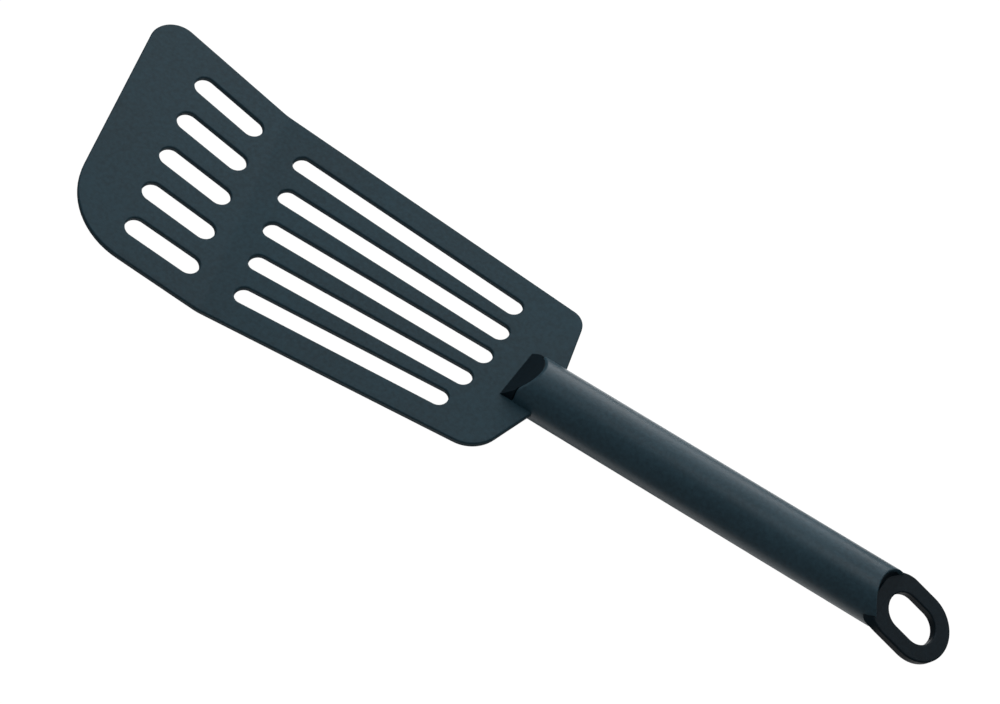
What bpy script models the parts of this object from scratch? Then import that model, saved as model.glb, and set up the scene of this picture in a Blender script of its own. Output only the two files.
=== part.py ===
"""Slotted grill turner: a bent nylon blade whose tang is pinned in a plug at the front of a round
sleeve, with a black end piece at the back that carries the oblong hanging hole.

The design origin is the neck, where the blade's mid-plane meets the sleeve's axis. +X runs along
the sleeve to the hanging hole, +Z is up, and the whole object is moved at the end so that the
bottom centre of its bounding box is the world origin.
"""

import math

import bmesh
import bpy
from mathutils import Matrix, Vector

MM = 0.001
GAP = 0.3 * MM  # between two pieces that touch on the real object
COLLECTION = "grill_spatula"
CUTTERS = "cutters"

# Blade, drawn flat with x from the crease, then bent at the crease and pitched at the neck.
BLADE_THICKNESS = 2.3 * MM
NECK_FROM_CREASE = 124.5 * MM
BLADE_PITCH = math.radians(0.92)  # the blade points down a little from the sleeve's axis
CREASE_SLANT = math.radians(16.15)
CREASE_ANGLE = math.radians(12.55)
CREASE_RADIUS = 16 * MM
CREASE_STEPS = 6
SIDE_HALF_WIDTH = 43.9 * MM  # at the crease, growing to the front and shrinking to the neck
SIDE_TAPER_REAR = 0.0857
SIDE_TAPER_FRONT = 0.078
FRONT_EDGE_X = -57.4 * MM
FRONT_EDGE_SLANT = math.radians(15.96)
FAR_TIP_RADIUS = 9.25 * MM
NEAR_TIP_RADIUS = 29.5 * MM
FAR_SHOULDER_X = 118.9 * MM
FAR_SHOULDER_RADIUS = 6.5 * MM
NEAR_SHOULDER_X = 117.6 * MM
NEAR_SHOULDER_RADIUS = 12 * MM
FAR_NECK_STEP = 0.5 * MM  # the blade's rear edge runs a little past the neck on the far side

SLOTS_EACH_SIDE = 2  # of the middle one, in both rows
REAR_SLOT_PITCH = 15.04 * MM
REAR_SLOT_FAN = 0.0358
REAR_SLOT_START = 13.0 * MM
REAR_SLOT_END = 98.8 * MM
REAR_SLOT_END_BOW = 5.0  # per metre: the outer slots stop short, along a bow
REAR_SLOT_RADIUS = 3.42 * MM
FRONT_SLOT_PITCH = 15.16 * MM
FRONT_SLOT_FAN = 0.0333
FRONT_SLOT_START = -31.35 * MM
FRONT_SLOT_END = -9.66 * MM
FRONT_SLOT_RADIUS = 3.92 * MM

TANG_LENGTH = 42 * MM
TANG_HALF_WIDTH = 6.5 * MM
TANG_END_RADIUS = 3 * MM

# Sleeve: a round tube with a counterbore at each end.
SLEEVE_RADIUS = 10.4 * MM
SLEEVE_BORE_RADIUS = 7.5 * MM
SEAT_RADIUS = 9.1 * MM  # of the counterbores that hold the plug and the end piece
WEDGE_ANGLE = math.radians(45)
WEDGE_FOOT_X = -12.4 * MM  # where the sloping front faces meet the blade
ROUGH_FRONT_X = -15 * MM  # uncut front end of the sleeve and of the plug
SLEEVE_NOSE_X = -7.6 * MM  # the sleeve's thin corners are blunted here
SCOOP_X = 138.8 * MM  # axis of the upright round cut at the back
SCOOP_RADIUS = 12.7 * MM

# Front plug, whose flange fills the corners in front of the sleeve, and the pins through the tang.
PLUG_RADIUS = SEAT_RADIUS - GAP
FLANGE_RADIUS = 10.2 * MM
PLUG_END_X = 50 * MM
PIN_RADIUS = 1.5 * MM
PIN_HALF_LENGTH = 8.0 * MM
PIN_X = {"tang_pin_front": 13 * MM, "tang_pin_rear": 31 * MM}

# Hanging eye: a sloping oblong ring that grows out of a spigot in the sleeve's back end.
EYE_SLOPE = math.radians(24.85)
EYE_X = 137.4 * MM  # the hole's front centre, on the ring's upper face
EYE_Z = -0.3 * MM
HOLE_RADIUS = 6.43 * MM
HOLE_STRETCH = 6.3 * MM  # between the hole's two end centres
RING_RADIUS = 12.3 * MM  # of its back end, and half its width
RING_SIDE_FRONT = -9.6 * MM  # front ends of its straight sides
RING_SIDE_RADIUS = 2.6 * MM
RING_FRONT = -11.8 * MM  # its short front edge, inside the sleeve
RING_FRONT_HALF = 8 * MM
RING_FRONT_RADIUS = 2 * MM
RING_LEAN_START = -2.3 * MM  # in front of this its sides lean in towards the top
RING_LEAN_RADIUS = 8.5 * MM
RING_SIDE_POINTS = 5
RING_THICKNESS = 3.3 * MM
SPIGOT_START_X = 90 * MM
SPIGOT_SCOOP_RADIUS = 12.5 * MM

ARC_STEP = math.radians(15)
ROUND_SEGMENTS = 64
PIN_SEGMENTS = 24
LONG = 300 * MM  # longer than anything that a cutter has to pass through

SLATE = ("slate_nylon", (0.030, 0.048, 0.061, 1), 0.55)
SLATE_SLEEVE = ("slate_sleeve", (0.033, 0.053, 0.066, 1), 0.5)
BLACK = ("black_nylon", (0.010, 0.012, 0.016, 1), 0.5)
STEEL = ("pin_steel", (0.55, 0.55, 0.56, 1), 0.35)


def clear_scene():
    for obj in list(bpy.data.objects):
        bpy.data.objects.remove(obj, do_unlink=True)


def new_collection(name):
    collection = bpy.data.collections.new(name)
    bpy.context.scene.collection.children.link(collection)
    return collection


def material(recipe, metallic=0.0):
    name, colour, roughness = recipe
    mat = bpy.data.materials.new(name)
    mat.use_nodes = True
    shader = mat.node_tree.nodes["Principled BSDF"]
    shader.inputs["Base Color"].default_value = colour
    shader.inputs["Roughness"].default_value = roughness
    shader.inputs["Metallic"].default_value = metallic
    return mat


def new_object(name, mesh, collection):
    obj = bpy.data.objects.new(name, mesh)
    collection.objects.link(obj)
    return obj


def cutter(name, mesh, collection):
    obj = new_object(name, mesh, collection)
    obj.hide_render = True
    obj.display_type = "WIRE"
    return obj


def boolean(obj, tool, operation="DIFFERENCE"):
    modifier = obj.modifiers.new(f"{operation.lower()}_{tool.name}", "BOOLEAN")
    modifier.operation = operation
    modifier.solver = "EXACT"
    modifier.object = tool


def rod_mesh(name, radius, start, end, axis="X", segments=ROUND_SEGMENTS):
    """A cylinder about the X or Z axis, from start to end along it."""
    bm = bmesh.new()
    turn = Matrix.Rotation(math.pi / 2, 4, "Y") if axis == "X" else Matrix.Identity(4)
    middle = Vector(((start + end) / 2, 0, 0)) if axis == "X" else Vector((0, 0, (start + end) / 2))
    bmesh.ops.create_cone(
        bm, cap_ends=True, segments=segments, radius1=radius, radius2=radius,
        depth=end - start, matrix=Matrix.Translation(middle) @ turn,
    )
    mesh = bpy.data.meshes.new(name)
    bm.to_mesh(mesh)
    bm.free()
    return mesh


def box_mesh(name, low, high):
    bm = bmesh.new()
    low, high = Vector(low), Vector(high)
    size = Matrix.Diagonal((*(high - low), 1))
    bmesh.ops.create_cube(bm, size=1, matrix=Matrix.Translation((low + high) / 2) @ size)
    mesh = bpy.data.meshes.new(name)
    bm.to_mesh(mesh)
    bm.free()
    return mesh


def arc(centre, radius, start, end):
    """Points on an arc, both ends included, at most ARC_STEP apart."""
    steps = max(1, math.ceil(abs(end - start) / ARC_STEP))
    angles = [start + (end - start) * i / steps for i in range(steps + 1)]
    return [Vector((centre[0] + radius * math.cos(a), centre[1] + radius * math.sin(a))) for a in angles]


def rounded_outline(corners):
    """A closed outline through corners given as (x, y, radius), with an arc at each radius."""
    points = []
    for i, (x, y, radius) in enumerate(corners):
        here = Vector((x, y))
        if radius == 0:
            points.append(here)
            continue
        back = (Vector(corners[i - 1][:2]) - here).normalized()
        on = (Vector(corners[(i + 1) % len(corners)][:2]) - here).normalized()
        half = back.angle(on) / 2
        centre = here + (back + on).normalized() * radius / math.sin(half)
        first = here + back * radius / math.tan(half) - centre
        turn = first.angle_signed(here + on * radius / math.tan(half) - centre)
        start = math.atan2(first.y, first.x)
        points += arc(centre, radius, start, start - turn)
    return points


def ring_outline(grow=0):
    """The eye's plan in its sloping plane: half-round at the back, with sides that run into the sleeve."""
    half = RING_RADIUS + grow
    front = RING_FRONT - grow
    front_half = RING_FRONT_HALF + grow
    quarter = math.pi / 2
    back = [(point.x, point.y, 0) for point in arc((HOLE_STRETCH, 0), half, -quarter, quarter)]
    reach = RING_SIDE_FRONT + 2 * RING_SIDE_RADIUS / 3 - RING_LEAN_START
    side = [RING_LEAN_START + reach * i / RING_SIDE_POINTS for i in range(RING_SIDE_POINTS + 1)]
    return rounded_outline(
        back
        + [(x, half, 0) for x in side]
        + [
            (RING_SIDE_FRONT, half, RING_SIDE_RADIUS),
            (front, front_half, RING_FRONT_RADIUS),
            (front, -front_half, RING_FRONT_RADIUS),
            (RING_SIDE_FRONT, -half, RING_SIDE_RADIUS),
        ]
        + [(x, -half, 0) for x in reversed(side)]
    )


def ring_lean(x):
    """The share of its half width by which the ring's upper face is narrower than its lower face."""
    ahead = max(0, RING_LEAN_START - max(x, RING_SIDE_FRONT))
    return (RING_LEAN_RADIUS - math.sqrt(RING_LEAN_RADIUS**2 - ahead**2)) / RING_RADIUS


def ring_mesh(name, grow=0):
    """The ring before its hole is cut, with grow added on every side."""
    bm = bmesh.new()
    outlines = []
    for z in (-RING_THICKNESS / 2 - grow, RING_THICKNESS / 2 + grow):
        rise = z / RING_THICKNESS + 0.5
        places = [(point.x, point.y * (1 - rise * ring_lean(point.x)), z) for point in ring_outline(grow)]
        outlines.append([bm.verts.new(place) for place in places])
    low, high = outlines
    bm.faces.new(low)
    bm.faces.new(high)
    walls = []
    for i in range(len(low)):
        walls.append(bm.faces.new((low[i - 1], low[i], high[i], high[i - 1])))
    bmesh.ops.triangulate(bm, faces=walls)
    bmesh.ops.recalc_face_normals(bm, faces=bm.faces)
    mesh = bpy.data.meshes.new(name)
    bm.to_mesh(mesh)
    bm.free()
    return mesh


def stadium(first, second, radius):
    """An outline with two half-round ends about the two centres."""
    along = math.atan2(second[1] - first[1], second[0] - first[0])
    quarter = math.pi / 2
    return arc(second, radius, along - quarter, along + quarter) + arc(
        first, radius, along + quarter, along + 3 * quarter
    )


def plate_mesh(name, outlines, thickness):
    """A flat plate in the XY plane: the first outline with the others as holes."""
    curve = bpy.data.curves.new(name, "CURVE")
    curve.dimensions = "2D"
    curve.fill_mode = "BOTH"
    curve.extrude = thickness / 2
    for outline in outlines:
        spline = curve.splines.new("POLY")
        spline.points.add(len(outline) - 1)
        for point, place in zip(spline.points, outline):
            point.co = (place.x, place.y, 0, 1)
        spline.use_cyclic_u = True
    drawn = bpy.data.objects.new(name, curve)
    bpy.context.scene.collection.objects.link(drawn)
    graph = bpy.context.evaluated_depsgraph_get()
    mesh = bpy.data.meshes.new_from_object(drawn.evaluated_get(graph))
    bpy.data.objects.remove(drawn)
    bm = bmesh.new()
    bm.from_mesh(mesh)
    bmesh.ops.remove_doubles(bm, verts=bm.verts, dist=0.001 * MM)
    bmesh.ops.recalc_face_normals(bm, faces=bm.faces)
    bm.to_mesh(mesh)
    bm.free()
    return mesh


def side_y(x):
    """Half width of the blade at x from the crease's middle."""
    return SIDE_HALF_WIDTH - (SIDE_TAPER_REAR if x > 0 else SIDE_TAPER_FRONT) * x


def slanted_crossing(x, slant, side):
    """Where the line that crosses the middle at x, slanted so far, meets one side of the blade."""
    y = side * SIDE_HALF_WIDTH
    for _ in range(8):
        y = side * side_y(x - math.tan(slant) * y)
    return x - math.tan(slant) * y, y


def blade_outline():
    far_tip = slanted_crossing(FRONT_EDGE_X, FRONT_EDGE_SLANT, 1)
    near_tip = slanted_crossing(FRONT_EDGE_X, FRONT_EDGE_SLANT, -1)
    far_crease = slanted_crossing(0, CREASE_SLANT, 1)
    near_crease = slanted_crossing(0, CREASE_SLANT, -1)
    far_neck_x = NECK_FROM_CREASE + FAR_NECK_STEP
    tang_x = NECK_FROM_CREASE + TANG_LENGTH
    return rounded_outline(
        [
            (*far_tip, FAR_TIP_RADIUS),
            (*far_crease, 0),
            (FAR_SHOULDER_X, side_y(FAR_SHOULDER_X), FAR_SHOULDER_RADIUS),
            (far_neck_x, SLEEVE_RADIUS, 0),
            (far_neck_x, TANG_HALF_WIDTH, 0),
            (tang_x, TANG_HALF_WIDTH, TANG_END_RADIUS),
            (tang_x, -TANG_HALF_WIDTH, TANG_END_RADIUS),
            (NECK_FROM_CREASE, -TANG_HALF_WIDTH, 0),
            (NECK_FROM_CREASE, -SLEEVE_RADIUS, 0),
            (NEAR_SHOULDER_X, -side_y(NEAR_SHOULDER_X), NEAR_SHOULDER_RADIUS),
            (*near_crease, 0),
            (*near_tip, NEAR_TIP_RADIUS),
        ]
    )


def slot_outlines():
    """Both rows of drain slots, which fan out towards the front edge."""
    outlines = []
    for k in range(-SLOTS_EACH_SIDE, SLOTS_EACH_SIDE + 1):

        def rear_y(x):
            return k * (REAR_SLOT_PITCH - REAR_SLOT_FAN * x)

        def front_y(x):
            return k * (FRONT_SLOT_PITCH - FRONT_SLOT_FAN * x)

        start = REAR_SLOT_START - math.tan(CREASE_SLANT) * rear_y(REAR_SLOT_START)
        end = REAR_SLOT_END - REAR_SLOT_END_BOW * rear_y(REAR_SLOT_END) ** 2
        outlines.append(stadium((start, rear_y(start)), (end, rear_y(end)), REAR_SLOT_RADIUS))
        start = FRONT_SLOT_START - math.tan(FRONT_EDGE_SLANT) * front_y(FRONT_SLOT_START)
        end = FRONT_SLOT_END - math.tan(CREASE_SLANT) * front_y(FRONT_SLOT_END)
        outlines.append(stadium((start, front_y(start)), (end, front_y(end)), FRONT_SLOT_RADIUS))
    return outlines


def bend_at_crease(mesh):
    """Rolls the front of the flat blade up about the slanted crease, on a short arc."""
    across = Vector((math.cos(CREASE_SLANT), math.sin(CREASE_SLANT), 0))
    arc_length = CREASE_RADIUS * CREASE_ANGLE
    bm = bmesh.new()
    bm.from_mesh(mesh)
    for step in range(CREASE_STEPS + 1):
        place = across * arc_length * (step / CREASE_STEPS - 0.5)
        bmesh.ops.bisect_plane(
            bm, geom=bm.verts[:] + bm.edges[:] + bm.faces[:], plane_co=place, plane_no=across,
            dist=0.001 * MM,
        )
    for vert in bm.verts:
        ahead = arc_length / 2 - vert.co.dot(across)
        if ahead <= 0:
            continue
        angle = min(ahead / CREASE_RADIUS, CREASE_ANGLE)
        straight = ahead - angle * CREASE_RADIUS
        inside = CREASE_RADIUS - vert.co.z
        forward = inside * math.sin(angle) + straight * math.cos(angle)
        up = CREASE_RADIUS - inside * math.cos(angle) + straight * math.sin(angle)
        vert.co += across * (ahead - forward)
        vert.co.z = up
    bm.to_mesh(mesh)
    bm.free()


def make_blade(parts):
    holes = slot_outlines()
    for x in PIN_X.values():
        holes.append(arc((NECK_FROM_CREASE + x, 0), PIN_RADIUS + GAP, 0, 2 * math.pi)[:-1])
    mesh = plate_mesh("blade", [blade_outline()] + holes, BLADE_THICKNESS)
    bend_at_crease(mesh)
    mesh.transform(Matrix.Translation((-NECK_FROM_CREASE, 0, 0)))
    blade = new_object("blade", mesh, parts)
    blade.rotation_euler.y = -BLADE_PITCH
    return blade


def wedge_box(name, side, cutters):
    """A long box in front of the sloping front face above (side 1) or below (-1) the blade."""
    mesh = box_mesh(name, (-LONG, -LONG, -LONG), (0, LONG, LONG))
    box = cutter(name, mesh, cutters)
    box.location = (WEDGE_FOOT_X, 0, side * BLADE_THICKNESS / 2)
    box.rotation_euler.y = side * (math.pi / 2 - WEDGE_ANGLE)
    return box


def mouth_mesh(name, pocket=False):
    """The space for the blade's neck with its clearance, and for the tang behind it if pocket."""
    half = TANG_HALF_WIDTH + GAP
    end = TANG_LENGTH + GAP
    far_x = FAR_NECK_STEP + GAP
    near = [(-LONG, -LONG), (GAP, -LONG), (GAP, -half)]
    tang = [(end, -half), (end, half)] if pocket else []
    far = [(far_x, half), (far_x, LONG), (-LONG, LONG)]
    outline = [Vector(corner) for corner in near + tang + far]
    mesh = plate_mesh(name, [outline], BLADE_THICKNESS + 2 * GAP)
    mesh.transform(Matrix.Rotation(-BLADE_PITCH, 4, "Y"))
    return mesh


def make_sleeve(parts, cutters, wedges):
    tube = rod_mesh("handle_sleeve", SLEEVE_RADIUS, ROUGH_FRONT_X, SCOOP_X)
    sleeve = new_object(tube.name, tube, parts)
    bore = cutter("sleeve_bore", rod_mesh("sleeve_bore", SLEEVE_BORE_RADIUS, -LONG, LONG), cutters)
    front_seat = rod_mesh("front_seat", SEAT_RADIUS, -LONG, PLUG_END_X + GAP)
    back_seat = rod_mesh("back_seat", SEAT_RADIUS, SPIGOT_START_X - GAP, LONG)
    mouth = mouth_mesh("mouth")
    nose = box_mesh("nose", (-LONG, -LONG, -LONG), (SLEEVE_NOSE_X, LONG, LONG))
    scoop = rod_mesh("scoop", SCOOP_RADIUS, -LONG, LONG, axis="Z")
    scoop.transform(Matrix.Translation((SCOOP_X, 0, 0)))
    tools = [bore] + [cutter(m.name, m, cutters) for m in (front_seat, back_seat, mouth, nose, scoop)]
    notch = ring_part(ring_mesh("ring_notch", GAP), cutters)
    for tool in wedges + tools + [notch]:
        boolean(sleeve, tool)
    return sleeve


def make_plug(parts, cutters, wedges):
    body = rod_mesh("front_plug", PLUG_RADIUS, ROUGH_FRONT_X, PLUG_END_X)
    plug = new_object(body.name, body, parts)
    flange = rod_mesh("plug_flange", FLANGE_RADIUS, ROUGH_FRONT_X, SLEEVE_NOSE_X - GAP)
    boolean(plug, cutter("plug_flange", flange, cutters), "UNION")
    mouth = cutter("plug_mouth", mouth_mesh("plug_mouth", pocket=True), cutters)
    for tool in [mouth] + wedges:
        boolean(plug, tool)
    for name, x in PIN_X.items():
        mesh = rod_mesh(f"{name}_hole", PIN_RADIUS + GAP, -LONG, LONG, "Z", PIN_SEGMENTS)
        tool = cutter(mesh.name, mesh, cutters)
        tool.location.x = x
        boolean(plug, tool)
    return plug


def make_pins(parts):
    pins = []
    for name, x in PIN_X.items():
        mesh = rod_mesh(name, PIN_RADIUS, -PIN_HALF_LENGTH, PIN_HALF_LENGTH, "Z", PIN_SEGMENTS)
        pin = new_object(name, mesh, parts)
        pin.location.x = x
        pins.append(pin)
    return pins


def ring_part(mesh, collection):
    """Puts a plate's upper face in the eye's sloping plane, with its origin at the hole's front centre."""
    mesh.transform(Matrix.Translation((0, 0, -RING_THICKNESS / 2)))
    part = cutter(mesh.name, mesh, collection)
    part.location = (EYE_X, 0, EYE_Z)
    part.rotation_euler.y = EYE_SLOPE
    return part


def make_eye(parts, cutters):
    spigot = rod_mesh("hanging_eye", PLUG_RADIUS, SPIGOT_START_X, SCOOP_X)
    eye = new_object(spigot.name, spigot, parts)
    scoop = rod_mesh("spigot_scoop", SPIGOT_SCOOP_RADIUS, -LONG, LONG, axis="Z")
    scoop.transform(Matrix.Translation((SCOOP_X, 0, 0)))
    ring = ring_part(ring_mesh("ring"), cutters)
    outline = stadium((0, 0), (HOLE_STRETCH, 0), HOLE_RADIUS)
    hole = ring_part(plate_mesh("eye_hole", [outline], 4 * RING_THICKNESS), cutters)
    boolean(eye, cutter("spigot_scoop", scoop, cutters))
    boolean(eye, ring, "UNION")
    boolean(eye, hole)
    return eye


def finish_part(obj, recipe, metallic=0.0):
    obj.data.materials.append(material(recipe, metallic))
    obj.data.shade_smooth()
    obj.data.set_sharp_from_angle(angle=math.radians(30))


def stand_on_origin(objects, parent):
    """Hangs the pieces on parent and moves it so that their box's bottom centre is the origin."""
    for obj in objects:
        obj.parent = parent
    bpy.context.view_layer.update()
    graph = bpy.context.evaluated_depsgraph_get()
    points = []
    for obj in objects:
        evaluated = obj.evaluated_get(graph)
        points += [evaluated.matrix_world @ vert.co for vert in evaluated.data.vertices]
    low = Vector(map(min, *points))
    high = Vector(map(max, *points))
    parent.location = -Vector(((low.x + high.x) / 2, (low.y + high.y) / 2, low.z))


def build():
    clear_scene()
    parts = new_collection(COLLECTION)
    cutters = new_collection(CUTTERS)
    frame = new_object("grill_spatula", None, parts)
    wedges = [wedge_box("upper_wedge", 1, cutters), wedge_box("lower_wedge", -1, cutters)]
    blade = make_blade(parts)
    sleeve = make_sleeve(parts, cutters, wedges)
    plug = make_plug(parts, cutters, wedges)
    pins = make_pins(parts)
    eye = make_eye(parts, cutters)
    finish_part(blade, SLATE)
    finish_part(sleeve, SLATE_SLEEVE)
    finish_part(plug, BLACK)
    finish_part(eye, BLACK)
    for pin in pins:
        finish_part(pin, STEEL, metallic=1.0)
    for tool in cutters.objects:
        tool.parent = frame
    stand_on_origin([blade, sleeve, plug, *pins, eye], frame)


build()
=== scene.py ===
"""Looks of the slotted grill spatula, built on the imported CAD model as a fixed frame.

The neck, where the blade's mid-plane meets the sleeve's axis, comes from the sleeve's CAD box. Every
finished piece is drawn about the neck, in metres, with +X to the hanging hole and +Z up.
"""

import math

import bmesh
import bpy
from mathutils import Matrix, Vector


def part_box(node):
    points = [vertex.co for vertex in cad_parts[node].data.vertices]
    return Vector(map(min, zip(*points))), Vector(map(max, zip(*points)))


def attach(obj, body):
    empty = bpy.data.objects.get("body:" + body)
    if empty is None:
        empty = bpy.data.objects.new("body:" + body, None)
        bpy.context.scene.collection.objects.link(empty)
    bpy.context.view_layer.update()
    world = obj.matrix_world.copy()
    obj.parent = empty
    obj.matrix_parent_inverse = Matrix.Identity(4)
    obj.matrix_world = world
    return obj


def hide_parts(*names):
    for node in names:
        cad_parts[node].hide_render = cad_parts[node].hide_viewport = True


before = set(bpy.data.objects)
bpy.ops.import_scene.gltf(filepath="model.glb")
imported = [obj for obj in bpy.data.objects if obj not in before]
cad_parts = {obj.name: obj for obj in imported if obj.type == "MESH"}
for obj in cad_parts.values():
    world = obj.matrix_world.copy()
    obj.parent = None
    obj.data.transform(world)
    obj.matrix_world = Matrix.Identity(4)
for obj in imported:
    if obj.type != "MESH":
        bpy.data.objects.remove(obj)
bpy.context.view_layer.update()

MM = 0.001
GAP = 0.3 * MM  # between hidden faces of the pieces
SEAM = 0.05 * MM  # between neighbours whose joint line shows
WELD = 0.001 * MM  # points nearer than this are one point

# Blade: drawn flat with x from the crease, bent at the crease, then pitched at the neck.
BLADE_THICKNESS = 2.3 * MM
BLADE_ROUND = 0.55 * MM
BLADE_PITCH = math.radians(0.92)
NECK_FROM_CREASE = 124.5 * MM
CREASE_SLANT = math.radians(16.15)
CREASE_ANGLE = math.radians(12.55)
CREASE_RADIUS = 16 * MM
CREASE_STEPS = 18
SIDE_HALF_WIDTH = 43.9 * MM  # at the crease, from which the tapers are slopes
SIDE_TAPER_REAR = 0.0857
SIDE_TAPER_FRONT = 0.078
CROSSING_ROUNDS = 8  # repeats that settle where a slanted line meets a tapered side
FRONT_EDGE_X = -57.4 * MM
FRONT_EDGE_SLANT = math.radians(15.96)
FAR_TIP_RADIUS = 9.25 * MM
NEAR_TIP_RADIUS = 29.5 * MM
FAR_SHOULDER_X = 118.9 * MM
FAR_SHOULDER_RADIUS = 6.5 * MM
NEAR_SHOULDER_X = 117.6 * MM
NEAR_SHOULDER_RADIUS = 12 * MM
FAR_NECK_STEP = 0.5 * MM
SLOTS_EACH_SIDE = 2  # of the middle slot, in each row
REAR_SLOT_PITCH = 15.04 * MM
REAR_SLOT_FAN = 0.0358  # pitch lost per unit of x
REAR_SLOT_START = 13.0 * MM
REAR_SLOT_END = 98.8 * MM
REAR_SLOT_END_BOW = 5.0  # per metre; the ends of the rear slots lie on a shallow curve
REAR_SLOT_RADIUS = 3.42 * MM
FRONT_SLOT_PITCH = 15.16 * MM
FRONT_SLOT_FAN = 0.0333
FRONT_SLOT_START = -31.35 * MM
FRONT_SLOT_END = -9.66 * MM
FRONT_SLOT_RADIUS = 3.92 * MM
TANG_LENGTH = 42 * MM
TANG_HALF_WIDTH = 6.5 * MM
TANG_END_RADIUS = 3 * MM

# Sleeve and plug.
SLEEVE_RADIUS = 10.4 * MM
SLEEVE_BORE_RADIUS = 7.5 * MM
SEAT_RADIUS = 9.1 * MM
FRONT_SEAT_RADIUS = 9.6 * MM  # the tube thins towards its front edge
FRONT_CUT = 0.65 * MM  # how far the rounding of the front edge reaches along its two sides
REAR_CUT = 0.4 * MM
SEAT_CUT = 0.08 * MM
PROFILE_STEPS = 5  # straight steps in each rounding of the profile
WEDGE_ANGLE = math.radians(45)
WEDGE_FOOT_X = -12.4 * MM
SLEEVE_NOSE_X = -7.6 * MM
NOSE_ROUND = 1.2 * MM
SCOOP_X = 138.8 * MM
SCOOP_RADIUS = 12.7 * MM
PLUG_RADIUS = FRONT_SEAT_RADIUS - SEAM
SPIGOT_RADIUS = SEAT_RADIUS - SEAM
FLANGE_RADIUS = 10.2 * MM
PLUG_END_X = 50 * MM
PLUG_ROUND = 0.3 * MM
ROUGH_FRONT_X = -15 * MM  # ahead of the wedges that trim the plug
PIN_RADIUS = 1.5 * MM
PIN_X = (13 * MM, 31 * MM)

# Hanging eye.
EYE_SLOPE = math.radians(24.85)
EYE_X = 137.4 * MM  # middle of the hole's front half-round, in the ring's upper face
EYE_Z = -0.3 * MM
HOLE_RADIUS = 6.43 * MM
HOLE_STRETCH = 6.3 * MM
RING_RADIUS = 12.3 * MM
RING_SIDE_FRONT = -9.6 * MM
RING_SIDE_RADIUS = 2.6 * MM
RING_FRONT = -11.8 * MM
RING_FRONT_HALF = 8 * MM
RING_FRONT_RADIUS = 2 * MM
RING_LEAN_START = -2.3 * MM  # ahead of here the ring's sides lean in towards the upper face
RING_LEAN_RADIUS = 8.5 * MM
RING_SIDE_POINTS = 12
RING_THICKNESS = 3.3 * MM
RING_ROUND = 0.6 * MM
HOLE_ROUND = 0.5 * MM
SPIGOT_START_X = 90 * MM
SPIGOT_SCOOP_RADIUS = 12.5 * MM

ARC_STEP = math.radians(5)
RIM_STEPS = 5
PLATE_RIM_STEPS = 4
TUBE_SEGMENTS = 192
ROD_SEGMENTS = 96
PIN_HOLE_SEGMENTS = 32
LONG = 300 * MM  # past the object on every side
SHARP_ANGLE = math.radians(35)
BEVEL_ANGLE = math.radians(30)

# Nylon: a fine speckle and a slow cloud share the change of shade; the speckle and a finer grain
# make the bumps. Scales are per metre.
CLOUD_SCALE = 28
SPECKLE_SCALE = 700
FINE_SCALE = 2600
SPECKLE_SHARE = 0.6
CLOUD_SHARE = 0.4
SHADE_CHANGE = 0.28
GLOSS_CHANGE = 0.03
GRAIN_DEPTH = 0.05 * MM
NOISE_LOW = 0.3  # nearly all of the noise lies between these two
NOISE_HIGH = 0.7

# Studio: round soft lights, all at LIGHT_DISTANCE from LIGHT_AIM, as (name, azimuth, elevation,
# radiance) with angles in degrees. The last three stand for what a white table sends back, because
# the floor itself only shows to the camera.
LIGHT_SIZE = 1.0
LIGHT_DISTANCE = 1.6
LIGHT_AIM = Vector((0.05, 0, 0.01))
SOFT_LIGHTS = (
    ("back_low", 105, 16, 2.4),
    ("back_high", 120, 45, 1.3),
    ("side_low", 60, 14, 0.8),
    ("side_high", 60, 45, 1.2),
    ("left_low", 180, 14, 0.18),
    ("left_high", 180, 45, 0.28),
    ("overhead", 0, 80, 1.46),
    ("table_back", 110, -35, 1.5),
    ("table_under", 0, -80, 0.75),
    ("table_front", 250, -60, 0.68),
)
FLOOR_SIZE = 8
FLOOR_GLOW = 1.0
FLOOR_SHADE = 0.08
FLOOR_ROUGHNESS = 0.9
WORLD_STRENGTH = 0.13

# Camera: it looks down on the blade's upper face from the near side.
CAMERA_AZIMUTH = math.radians(22.070)
CAMERA_ELEVATION = math.radians(54.105)
CAMERA_ROLL = math.radians(12.919)
CAMERA_FROM_NECK = Vector((180.10, -493.23, 742.40)) * MM
CAMERA_LENS_MM = 98.5
SENSOR_WIDTH_MM = 36
CLIP_START = 10 * MM


def find_neck():
    low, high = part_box("handle_sleeve")
    return Vector((low.x - SLEEVE_NOSE_X, (low.y + high.y) / 2, (low.z + high.z) / 2))


NECK = find_neck()
AT_NECK = Matrix.Translation(NECK)


# ---------------------------------------------------------------- outlines

def arc(centre, radius, start, end):
    steps = max(1, math.ceil(abs(end - start) / ARC_STEP))
    angles = [start + (end - start) * i / steps for i in range(steps + 1)]
    return [Vector((centre[0] + radius * math.cos(a), centre[1] + radius * math.sin(a))) for a in angles]


def corner_sides(corners, i):
    """The corner at i, the directions to its two neighbours, and half the angle between them."""
    here = Vector(corners[i][:2])
    back = (Vector(corners[i - 1][:2]) - here).normalized()
    on = (Vector(corners[(i + 1) % len(corners)][:2]) - here).normalized()
    return here, back, on, back.angle(on) / 2


def sweep(centre, first, last):
    """Angle of the first point about the centre, and how far on the last one is, clockwise."""
    first = first - centre
    return math.atan2(first.y, first.x), first.angle_signed(last - centre)


def rounded_outline(corners):
    """A closed outline through corners given as (x, y, radius), with an arc at each radius."""
    points = []
    for i, (x, y, radius) in enumerate(corners):
        if radius == 0:
            points.append(Vector((x, y)))
            continue
        here, back, on, half = corner_sides(corners, i)
        centre = here + (back + on).normalized() * radius / math.sin(half)
        first = here + back * radius / math.tan(half)
        last = here + on * radius / math.tan(half)
        start, turn = sweep(centre, first, last)
        points += arc(centre, radius, start, start - turn)
    return points


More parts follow.
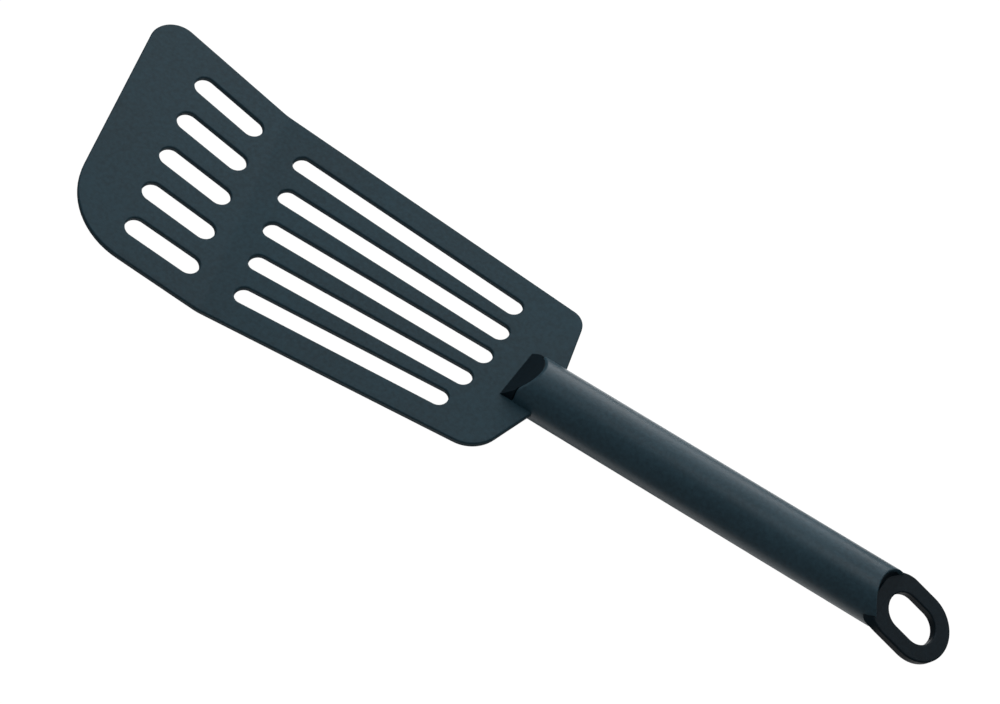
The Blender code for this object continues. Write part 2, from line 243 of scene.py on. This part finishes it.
def ring_outline(grow=0.0):
    """The eye's plan: half-round at the back, with straight sides that run into the sleeve."""
    half = RING_RADIUS + grow
    front = RING_FRONT - grow
    front_half = RING_FRONT_HALF + grow
    quarter = math.pi / 2
    back = [(point.x, point.y, 0) for point in arc((HOLE_STRETCH, 0), half, -quarter, quarter)]
    reach = RING_SIDE_FRONT + 2 * RING_SIDE_RADIUS / 3 - RING_LEAN_START
    side = [RING_LEAN_START + reach * i / RING_SIDE_POINTS for i in range(RING_SIDE_POINTS + 1)]
    return rounded_outline(
        back
        + [(x, half, 0) for x in side]
        + [
            (RING_SIDE_FRONT, half, RING_SIDE_RADIUS),
            (front, front_half, RING_FRONT_RADIUS),
            (front, -front_half, RING_FRONT_RADIUS),
            (RING_SIDE_FRONT, -half, RING_SIDE_RADIUS),
        ]
        + [(x, -half, 0) for x in reversed(side)]
    )


def ring_lean(x):
    """The share of its half width by which the ring's upper face is narrower than its lower face."""
    ahead = max(0, RING_LEAN_START - max(x, RING_SIDE_FRONT))
    return (RING_LEAN_RADIUS - math.sqrt(RING_LEAN_RADIUS**2 - ahead**2)) / RING_RADIUS


def quarter_round(radius):
    """Pairs of depth below a face and distance in from its edge, from the side up to the face."""
    turns = [math.pi / 2 * step / RIM_STEPS for step in range(RIM_STEPS + 1)]
    return [(radius * (1 - math.sin(turn)), radius * (1 - math.cos(turn))) for turn in turns]


def stadium(first, second, radius):
    """A slot's outline, with its two half-rounds about the first and the second point."""
    along = math.atan2(second[1] - first[1], second[0] - first[0])
    quarter = math.pi / 2
    return arc(second, radius, along - quarter, along + quarter) + arc(
        first, radius, along + quarter, along + 3 * quarter
    )


# ---------------------------------------------------------------- mesh helpers

def new_piece(name, mesh):
    obj = bpy.data.objects.new(name, mesh)
    bpy.context.scene.collection.objects.link(obj)
    return obj


def plate_mesh(name, outlines, thickness, rim=0.0):
    """A flat plate in the XY plane: the first outline with the others as holes, and rounded rims."""
    curve = bpy.data.curves.new(name, "CURVE")
    curve.dimensions = "2D"
    curve.fill_mode = "BOTH"
    curve.extrude = thickness / 2 - rim
    curve.bevel_depth = rim
    curve.bevel_resolution = PLATE_RIM_STEPS
    curve.offset = -rim
    for outline in outlines:
        spline = curve.splines.new("POLY")
        spline.points.add(len(outline) - 1)
        for point, place in zip(spline.points, outline):
            point.co = (place.x, place.y, 0, 1)
        spline.use_cyclic_u = True
    drawn = new_piece(name, curve)
    graph = bpy.context.evaluated_depsgraph_get()
    mesh = bpy.data.meshes.new_from_object(drawn.evaluated_get(graph))
    bpy.data.objects.remove(drawn)
    bm = bmesh.new()
    bm.from_mesh(mesh)
    bmesh.ops.remove_doubles(bm, verts=bm.verts, dist=WELD)
    bmesh.ops.recalc_face_normals(bm, faces=bm.faces)
    bm.to_mesh(mesh)
    bm.free()
    return mesh


def lofted_mesh(name, outlines):
    """A closed skin through outlines with equal numbers of points, with flat ends."""
    bm = bmesh.new()
    loops = [[bm.verts.new(place) for place in outline] for outline in outlines]
    bm.faces.new(loops[0])
    bm.faces.new(loops[-1])
    for low, high in zip(loops, loops[1:]):
        for i in range(len(low)):
            bm.faces.new((low[i - 1], low[i], high[i], high[i - 1]))
    bmesh.ops.recalc_face_normals(bm, faces=bm.faces)
    mesh = bpy.data.meshes.new(name)
    bm.to_mesh(mesh)
    bm.free()
    return mesh


def rod_mesh(name, radius, start, end, axis="X", segments=ROD_SEGMENTS):
    bm = bmesh.new()
    turn = Matrix.Rotation(math.pi / 2, 4, "Y") if axis == "X" else Matrix.Identity(4)
    middle = Vector(((start + end) / 2, 0, 0)) if axis == "X" else Vector((0, 0, (start + end) / 2))
    bmesh.ops.create_cone(
        bm, cap_ends=True, segments=segments, radius1=radius, radius2=radius,
        depth=end - start, matrix=Matrix.Translation(middle) @ turn,
    )
    mesh = bpy.data.meshes.new(name)
    bm.to_mesh(mesh)
    bm.free()
    return mesh


def box_mesh(name, low, high):
    bm = bmesh.new()
    low, high = Vector(low), Vector(high)
    size = Matrix.Diagonal((*(high - low), 1))
    bmesh.ops.create_cube(bm, size=1, matrix=Matrix.Translation((low + high) / 2) @ size)
    mesh = bpy.data.meshes.new(name)
    bm.to_mesh(mesh)
    bm.free()
    return mesh


def carve(obj, mesh, operation="DIFFERENCE"):
    """Cuts mesh from obj, or joins it on, and applies the result."""
    tool = new_piece(f"tool_{mesh.name}", mesh)
    modifier = obj.modifiers.new(mesh.name, "BOOLEAN")
    modifier.operation = operation
    modifier.solver = "EXACT"
    modifier.object = tool
    bake_modifiers(obj)
    bpy.data.objects.remove(tool)


def bake_modifiers(obj):
    """Replaces the mesh by what its modifiers make of it."""
    graph = bpy.context.evaluated_depsgraph_get()
    mesh = bpy.data.meshes.new_from_object(obj.evaluated_get(graph))
    obj.modifiers.clear()
    obj.data = mesh


def round_edges(obj, width):
    modifier = obj.modifiers.new("round", "BEVEL")
    modifier.width = width
    modifier.segments = 3
    modifier.limit_method = "ANGLE"
    modifier.angle_limit = BEVEL_ANGLE
    modifier.miter_outer = "MITER_ARC"
    bake_modifiers(obj)


def finish_piece(obj, node, mat):
    """Moves a finished skin to the neck, dresses it and hands it over in place of its CAD node."""
    obj.data.transform(AT_NECK)
    obj.data.materials.clear()
    obj.data.materials.append(mat)
    for face in obj.data.polygons:
        face.material_index = 0
    obj.data.shade_smooth()
    obj.data.set_sharp_from_angle(angle=SHARP_ANGLE)
    weighted = obj.modifiers.new("weighted_normals", "WEIGHTED_NORMAL")
    weighted.keep_sharp = True
    bake_modifiers(obj)
    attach(obj, "root")
    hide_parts(node)


# ---------------------------------------------------------------- materials

def nylon(name, colour, roughness, specular, grain):
    """Moulded nylon: fine spark-eroded grain, a slow change of shade and of gloss."""
    mat = bpy.data.materials.new(name)
    mat.use_nodes = True
    nodes, links = mat.node_tree.nodes, mat.node_tree.links
    shader = nodes["Principled BSDF"]
    shader.inputs["Specular IOR Level"].default_value = specular
    place = nodes.new("ShaderNodeTexCoord")

    def noise(scale, detail):
        node = nodes.new("ShaderNodeTexNoise")
        node.inputs["Scale"].default_value = scale
        node.inputs["Detail"].default_value = detail
        links.new(place.outputs["Object"], node.inputs["Vector"])
        return node.outputs["Fac"]

    def between(value, low, high):
        node = nodes.new("ShaderNodeMapRange")
        node.inputs["From Min"].default_value = NOISE_LOW
        node.inputs["From Max"].default_value = NOISE_HIGH
        node.inputs["To Min"].default_value = low
        node.inputs["To Max"].default_value = high
        links.new(value, node.inputs["Value"])
        return node.outputs["Result"]

    cloud = noise(CLOUD_SCALE, 3)
    speckle = noise(SPECKLE_SCALE, 3)
    fine = noise(FINE_SCALE, 2)
    shade = nodes.new("ShaderNodeMix")
    shade.data_type = "RGBA"
    shade.inputs["A"].default_value = (*[c * (1 - SHADE_CHANGE) for c in colour], 1)
    shade.inputs["B"].default_value = (*[c * (1 + SHADE_CHANGE) for c in colour], 1)
    blend = nodes.new("ShaderNodeMath")
    blend.operation = "MULTIPLY_ADD"
    blend.inputs[1].default_value = SPECKLE_SHARE
    links.new(between(speckle, 0, 1), blend.inputs[0])
    links.new(between(cloud, 0, CLOUD_SHARE), blend.inputs[2])
    links.new(blend.outputs[0], shade.inputs["Factor"])
    links.new(shade.outputs["Result"], shader.inputs["Base Color"])
    gloss = between(cloud, roughness - GLOSS_CHANGE, roughness + GLOSS_CHANGE)
    links.new(gloss, shader.inputs["Roughness"])
    heights = nodes.new("ShaderNodeMath")
    heights.operation = "ADD"
    links.new(speckle, heights.inputs[0])
    links.new(fine, heights.inputs[1])
    bump = nodes.new("ShaderNodeBump")
    bump.inputs["Strength"].default_value = grain
    bump.inputs["Distance"].default_value = GRAIN_DEPTH
    links.new(heights.outputs[0], bump.inputs["Height"])
    links.new(bump.outputs["Normal"], shader.inputs["Normal"])
    return mat


def steel(name):
    """Plain pin steel with a fine change of gloss."""
    mat = bpy.data.materials.new(name)
    mat.use_nodes = True
    nodes, links = mat.node_tree.nodes, mat.node_tree.links
    shader = nodes["Principled BSDF"]
    shader.inputs["Base Color"].default_value = (0.55, 0.55, 0.56, 1)
    shader.inputs["Metallic"].default_value = 1
    place = nodes.new("ShaderNodeTexCoord")
    turned = nodes.new("ShaderNodeTexNoise")
    turned.inputs["Scale"].default_value = 3000
    links.new(place.outputs["Object"], turned.inputs["Vector"])
    gloss = nodes.new("ShaderNodeMapRange")
    gloss.inputs["To Min"].default_value = 0.25
    gloss.inputs["To Max"].default_value = 0.5
    links.new(turned.outputs["Fac"], gloss.inputs["Value"])
    links.new(gloss.outputs["Result"], shader.inputs["Roughness"])
    return mat


# ---------------------------------------------------------------- blade

def side_y(x):
    """Half the blade's width at x, measured from its middle line."""
    return SIDE_HALF_WIDTH - (SIDE_TAPER_REAR if x > 0 else SIDE_TAPER_FRONT) * x


def slanted_crossing(x, slant, side):
    """Where a line through (x, 0), slanted across the blade, meets one of its sides."""
    y = side * SIDE_HALF_WIDTH
    for _ in range(CROSSING_ROUNDS):
        y = side * side_y(x - math.tan(slant) * y)
    return x - math.tan(slant) * y, y


def blade_outline():
    far_tip = slanted_crossing(FRONT_EDGE_X, FRONT_EDGE_SLANT, 1)
    near_tip = slanted_crossing(FRONT_EDGE_X, FRONT_EDGE_SLANT, -1)
    far_crease = slanted_crossing(0, CREASE_SLANT, 1)
    near_crease = slanted_crossing(0, CREASE_SLANT, -1)
    far_neck_x = NECK_FROM_CREASE + FAR_NECK_STEP
    tang_x = NECK_FROM_CREASE + TANG_LENGTH
    return rounded_outline(
        [
            (*far_tip, FAR_TIP_RADIUS),
            (*far_crease, 0),
            (FAR_SHOULDER_X, side_y(FAR_SHOULDER_X), FAR_SHOULDER_RADIUS),
            (far_neck_x, SLEEVE_RADIUS, 0),
            (far_neck_x, TANG_HALF_WIDTH, 0),
            (tang_x, TANG_HALF_WIDTH, TANG_END_RADIUS),
            (tang_x, -TANG_HALF_WIDTH, TANG_END_RADIUS),
            (NECK_FROM_CREASE, -TANG_HALF_WIDTH, 0),
            (NECK_FROM_CREASE, -SLEEVE_RADIUS, 0),
            (NEAR_SHOULDER_X, -side_y(NEAR_SHOULDER_X), NEAR_SHOULDER_RADIUS),
            (*near_crease, 0),
            (*near_tip, NEAR_TIP_RADIUS),
        ]
    )


def slot_outlines():
    """Both rows of slots; each row fans out and its slots start or end along a slanted line."""
    outlines = []
    for k in range(-SLOTS_EACH_SIDE, SLOTS_EACH_SIDE + 1):

        def rear_y(x):
            return k * (REAR_SLOT_PITCH - REAR_SLOT_FAN * x)

        def front_y(x):
            return k * (FRONT_SLOT_PITCH - FRONT_SLOT_FAN * x)

        start = REAR_SLOT_START - math.tan(CREASE_SLANT) * rear_y(REAR_SLOT_START)
        end = REAR_SLOT_END - REAR_SLOT_END_BOW * rear_y(REAR_SLOT_END) ** 2
        outlines.append(stadium((start, rear_y(start)), (end, rear_y(end)), REAR_SLOT_RADIUS))
        start = FRONT_SLOT_START - math.tan(FRONT_EDGE_SLANT) * front_y(FRONT_SLOT_START)
        end = FRONT_SLOT_END - math.tan(CREASE_SLANT) * front_y(FRONT_SLOT_END)
        outlines.append(stadium((start, front_y(start)), (end, front_y(end)), FRONT_SLOT_RADIUS))
    return outlines


def bend_at_crease(mesh):
    """Rolls the part ahead of the crease upwards, after cutting the mesh along the roll."""
    across = Vector((math.cos(CREASE_SLANT), math.sin(CREASE_SLANT), 0))
    arc_length = CREASE_RADIUS * CREASE_ANGLE
    bm = bmesh.new()
    bm.from_mesh(mesh)
    for step in range(CREASE_STEPS + 1):
        place = across * arc_length * (step / CREASE_STEPS - 0.5)
        bmesh.ops.bisect_plane(
            bm, geom=bm.verts[:] + bm.edges[:] + bm.faces[:], plane_co=place, plane_no=across,
            dist=WELD,
        )
    for vert in bm.verts:
        ahead = arc_length / 2 - vert.co.dot(across)
        if ahead <= 0:
            continue
        angle = min(ahead / CREASE_RADIUS, CREASE_ANGLE)
        straight = ahead - angle * CREASE_RADIUS
        inside = CREASE_RADIUS - vert.co.z
        forward = inside * math.sin(angle) + straight * math.cos(angle)
        up = CREASE_RADIUS - inside * math.cos(angle) + straight * math.sin(angle)
        vert.co += across * (ahead - forward)
        vert.co.z = up
    bm.to_mesh(mesh)
    bm.free()


def make_blade(mat):
    holes = slot_outlines()
    for x in PIN_X:
        holes.append(arc((NECK_FROM_CREASE + x, 0), PIN_RADIUS + GAP, 0, 2 * math.pi)[:-1])
    mesh = plate_mesh("blade_skin", [blade_outline()] + holes, BLADE_THICKNESS, BLADE_ROUND)
    bend_at_crease(mesh)
    mesh.transform(Matrix.Rotation(-BLADE_PITCH, 4, "Y") @ Matrix.Translation((-NECK_FROM_CREASE, 0, 0)))
    finish_piece(new_piece("blade_skin", mesh), "blade", mat)


# ---------------------------------------------------------------- sleeve

def smooth_max(a, b, width):
    """The larger of a and b, with the corner between them rounded."""
    h = max(0.0, min(1.0, 0.5 + 0.5 * (a - b) / width))
    return b * (1 - h) + a * h + width * h * (1 - h)


def front_x(radius, angle):
    """Front end of the sleeve at a radius and an angle from the top: two 45 degree slopes and a nose."""
    height = abs(radius * math.cos(angle))
    slope = WEDGE_FOOT_X + height - BLADE_THICKNESS / 2
    return smooth_max(slope, SLEEVE_NOSE_X, NOSE_ROUND)


def back_x(radius, angle):
    """Back end of the sleeve, hollowed by an upright cylinder about SCOOP_X."""
    return SCOOP_X - math.sqrt(SCOOP_RADIUS**2 - (radius * math.sin(angle)) ** 2)


def rounded_profile(corners):
    """A closed profile through corners (x, r, cut), each rounded from cut before it to cut after it."""
    points = []
    for i, (x, r, cut) in enumerate(corners):
        if cut == 0:
            points.append(Vector((x, r)))
            continue
        here, back, on, half = corner_sides(corners, i)
        radius = cut * math.tan(half)
        centre = here + (back + on).normalized() * radius / math.sin(half)
        start, turn = sweep(centre, here + back * cut, here + on * cut)
        for step in range(PROFILE_STEPS + 1):
            a = start - turn * step / PROFILE_STEPS
            points.append(centre + radius * Vector((math.cos(a), math.sin(a))))
    return points


def turned_mesh(name, profile_at):
    """Joins the closed profiles (x, r) round the X axis into one closed skin."""
    bm = bmesh.new()
    rings = []
    for i in range(TUBE_SEGMENTS):
        angle = 2 * math.pi * i / TUBE_SEGMENTS
        ring = []
        for x, r in profile_at(angle):
            ring.append(bm.verts.new((x, r * math.sin(angle), r * math.cos(angle))))
        rings.append(ring)
    for ring, following in zip(rings, rings[1:] + rings[:1]):
        for j, vert in enumerate(ring):
            k = (j + 1) % len(ring)
            bm.faces.new((vert, ring[k], following[k], following[j]))
    bmesh.ops.recalc_face_normals(bm, faces=bm.faces)
    mesh = bpy.data.meshes.new(name)
    bm.to_mesh(mesh)
    bm.free()
    return mesh


def sleeve_profile(angle):
    front_seat_end = PLUG_END_X + GAP
    back_seat_start = SPIGOT_START_X - GAP
    return rounded_profile(
        [
            (front_x(SLEEVE_RADIUS, angle), SLEEVE_RADIUS, FRONT_CUT),
            (back_x(SLEEVE_RADIUS, angle), SLEEVE_RADIUS, REAR_CUT),
            (back_x(SEAT_RADIUS, angle), SEAT_RADIUS, SEAT_CUT),
            (back_seat_start, SEAT_RADIUS, 0),
            (back_seat_start, SLEEVE_BORE_RADIUS, 0),
            (front_seat_end, SLEEVE_BORE_RADIUS, 0),
            (front_seat_end, FRONT_SEAT_RADIUS, 0),
            (front_x(FRONT_SEAT_RADIUS, angle), FRONT_SEAT_RADIUS, SEAT_CUT),
        ]
    )


def sloping(mesh):
    """Moves a plate from the XY plane so that its upper face lies in the eye's sloping plane."""
    place = Matrix.Translation((EYE_X, 0, EYE_Z)) @ Matrix.Rotation(EYE_SLOPE, 4, "Y")
    mesh.transform(place @ Matrix.Translation((0, 0, -RING_THICKNESS / 2)))
    return mesh


def ring_mesh(name, grow=0.0, rim=0.0):
    """The ring before its hole is cut, with grow added on every side and its rims rounded."""
    face = RING_THICKNESS / 2 + grow
    levels = [(face - depth, grow - inset) for depth, inset in quarter_round(rim)]
    if rim == 0:
        levels = levels[-1:]
    levels = [(-z, wider) for z, wider in reversed(levels)] + levels
    outlines = []
    for z, wider in levels:
        rise = z / RING_THICKNESS + 0.5
        places = ring_outline(wider)
        outlines.append([(p.x, p.y * (1 - rise * ring_lean(p.x)), z) for p in places])
    return lofted_mesh(name, outlines)


def hole_mesh(name):
    """The oblong hole as a solid that flares at both faces of the ring and runs on past them."""
    face = RING_THICKNESS / 2
    levels = [(face - depth, flare) for depth, flare in quarter_round(HOLE_ROUND)]
    levels.append((3 * face, HOLE_ROUND))
    levels = [(-z, flare) for z, flare in reversed(levels)] + levels
    outlines = []
    for z, flare in levels:
        places = stadium((0, 0), (HOLE_STRETCH, 0), HOLE_RADIUS + flare)
        outlines.append([(p.x, p.y, z) for p in places])
    return lofted_mesh(name, outlines)


def mouth_mesh(name, pocket=False):
    """The space for the blade's neck, with a hairline seam, and for the tang behind it if pocket."""
    half = TANG_HALF_WIDTH + GAP
    end = TANG_LENGTH + GAP
    far_x = FAR_NECK_STEP + SEAM
    near = [(-LONG, -LONG), (SEAM, -LONG), (SEAM, -half)]
    tang = [(end, -half), (end, half)] if pocket else []
    far = [(far_x, half), (far_x, LONG), (-LONG, LONG)]
    outline = [Vector(corner) for corner in near + tang + far]
    mesh = plate_mesh(name, [outline], BLADE_THICKNESS + 2 * SEAM)
    mesh.transform(Matrix.Rotation(-BLADE_PITCH, 4, "Y"))
    return mesh


def make_sleeve(mat):
    sleeve = new_piece("sleeve_skin", turned_mesh("sleeve_skin", sleeve_profile))
    carve(sleeve, mouth_mesh("mouth"))
    carve(sleeve, sloping(ring_mesh("notch", SEAM)))
    finish_piece(sleeve, "handle_sleeve", mat)


# ---------------------------------------------------------------- plug

def wedge(side):
    """What is cut away ahead of one of the plug's two sloping faces; side is 1 above, -1 below."""
    mesh = box_mesh(f"wedge_{side}", (-LONG, -LONG, -LONG), (0, LONG, LONG))
    turn = Matrix.Rotation(side * WEDGE_ANGLE, 4, "Y")
    mesh.transform(Matrix.Translation((WEDGE_FOOT_X, 0, side * BLADE_THICKNESS / 2)) @ turn)
    return mesh


def make_plug(mat):
    plug = new_piece("plug_skin", rod_mesh("plug_skin", PLUG_RADIUS, ROUGH_FRONT_X, PLUG_END_X))
    flange = rod_mesh("plug_flange", FLANGE_RADIUS, ROUGH_FRONT_X, SLEEVE_NOSE_X - GAP)
    carve(plug, flange, "UNION")
    carve(plug, mouth_mesh("plug_mouth", pocket=True))
    for side in (1, -1):
        carve(plug, wedge(side))
    for x in PIN_X:
        hole = rod_mesh("pin_hole", PIN_RADIUS + GAP, -LONG, LONG, "Z", PIN_HOLE_SEGMENTS)
        hole.transform(Matrix.Translation((x, 0, 0)))
        carve(plug, hole)
    round_edges(plug, PLUG_ROUND)
    finish_piece(plug, "front_plug", mat)


# ---------------------------------------------------------------- hanging eye

def make_eye(mat):
    eye = new_piece("eye_skin", rod_mesh("eye_skin", SPIGOT_RADIUS, SPIGOT_START_X, SCOOP_X))
    scoop = rod_mesh("spigot_scoop", SPIGOT_SCOOP_RADIUS, -LONG, LONG, "Z", TUBE_SEGMENTS)
    scoop.transform(Matrix.Translation((SCOOP_X, 0, 0)))
    carve(eye, scoop)
    carve(eye, sloping(ring_mesh("ring", rim=RING_ROUND)), "UNION")
    carve(eye, sloping(hole_mesh("eye_hole")))
    finish_piece(eye, "hanging_eye", mat)


def finish_pins(mat):
    """Dresses the two pins, which keep their CAD bodies."""
    for pin in ("tang_pin_front", "tang_pin_rear"):
        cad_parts[pin].material_slots[0].material = mat


# ---------------------------------------------------------------- stage

def make_floor():
    """A white floor that glows evenly to the camera and neither lights the object nor takes a shadow."""
    bpy.ops.mesh.primitive_plane_add(size=FLOOR_SIZE, location=(0, 0, 0))
    floor = bpy.context.object
    floor.name = "floor"
    mat = bpy.data.materials.new("floor_white")
    mat.use_nodes = True
    shader = mat.node_tree.nodes["Principled BSDF"]
    shader.inputs["Base Color"].default_value = (FLOOR_SHADE, FLOOR_SHADE, FLOOR_SHADE, 1)
    shader.inputs["Roughness"].default_value = FLOOR_ROUGHNESS
    shader.inputs["Specular IOR Level"].default_value = 0
    shader.inputs["Emission Color"].default_value = (1, 1, 1, 1)
    shader.inputs["Emission Strength"].default_value = FLOOR_GLOW
    floor.data.materials.append(mat)
    floor.visible_diffuse = False
    floor.visible_glossy = False
    floor.visible_shadow = False


def make_light(name, azimuth, elevation, radiance):
    """A round light at the given angles in degrees, turned to face LIGHT_AIM."""
    data = bpy.data.lights.new(name, "AREA")
    data.shape = "DISK"
    data.size = LIGHT_SIZE
    data.energy = radiance * math.pi * (math.pi * LIGHT_SIZE**2 / 4)
    light = bpy.data.objects.new(name, data)
    bpy.context.scene.collection.objects.link(light)
    raised = Matrix.Rotation(-math.radians(elevation), 4, "Y")
    turn = Matrix.Rotation(math.radians(azimuth), 4, "Z") @ raised
    away = turn @ Vector((1, 0, 0))
    light.location = LIGHT_AIM + away * LIGHT_DISTANCE
    light.rotation_euler = (-away).to_track_quat("-Z", "Y").to_euler()


def make_world():
    world = bpy.data.worlds.new("studio")
    world.use_nodes = True
    background = world.node_tree.nodes["Background"]
    background.inputs["Color"].default_value = (1, 1, 1, 1)
    background.inputs["Strength"].default_value = WORLD_STRENGTH
    bpy.context.scene.world = world


def make_camera():
    data = bpy.data.cameras.new("camera")
    data.sensor_width = SENSOR_WIDTH_MM
    data.lens = CAMERA_LENS_MM
    data.clip_start = CLIP_START
    camera = bpy.data.objects.new("camera", data)
    bpy.context.scene.collection.objects.link(camera)
    raised = Matrix.Rotation(math.pi / 2 - CAMERA_ELEVATION, 4, "X")
    turn = Matrix.Rotation(CAMERA_AZIMUTH, 4, "Z") @ raised @ Matrix.Rotation(CAMERA_ROLL, 4, "Z")
    camera.matrix_world = Matrix.Translation(NECK + CAMERA_FROM_NECK) @ turn
    bpy.context.scene.camera = camera


bpy.context.scene.view_settings.view_transform = "Standard"
slate = nylon(
    "slate_nylon_finish", colour=(0.0155, 0.051, 0.073), roughness=0.5, specular=0.28, grain=0.35
)
# The sleeve is the blade's slate dye. Its colour here is a painted lighter copy, about one and a half to
# two times as light, standing in for the light the sleeve catches.
slate_painted_lighter_for_sleeve = nylon(
    "sleeve_slate_painted_lighter", colour=(0.032, 0.078, 0.108), roughness=0.37, specular=0.42, grain=0.3
)
black = nylon(
    "black_nylon_finish", colour=(0.005, 0.015, 0.023), roughness=0.48, specular=0.18, grain=0.35
)
pin_steel = steel("pin_steel_finish")
make_blade(slate)
make_sleeve(slate_painted_lighter_for_sleeve)
make_plug(black)
make_eye(black)
finish_pins(pin_steel)
make_floor()
make_world()
for light in SOFT_LIGHTS:
    make_light(*light)
make_camera()
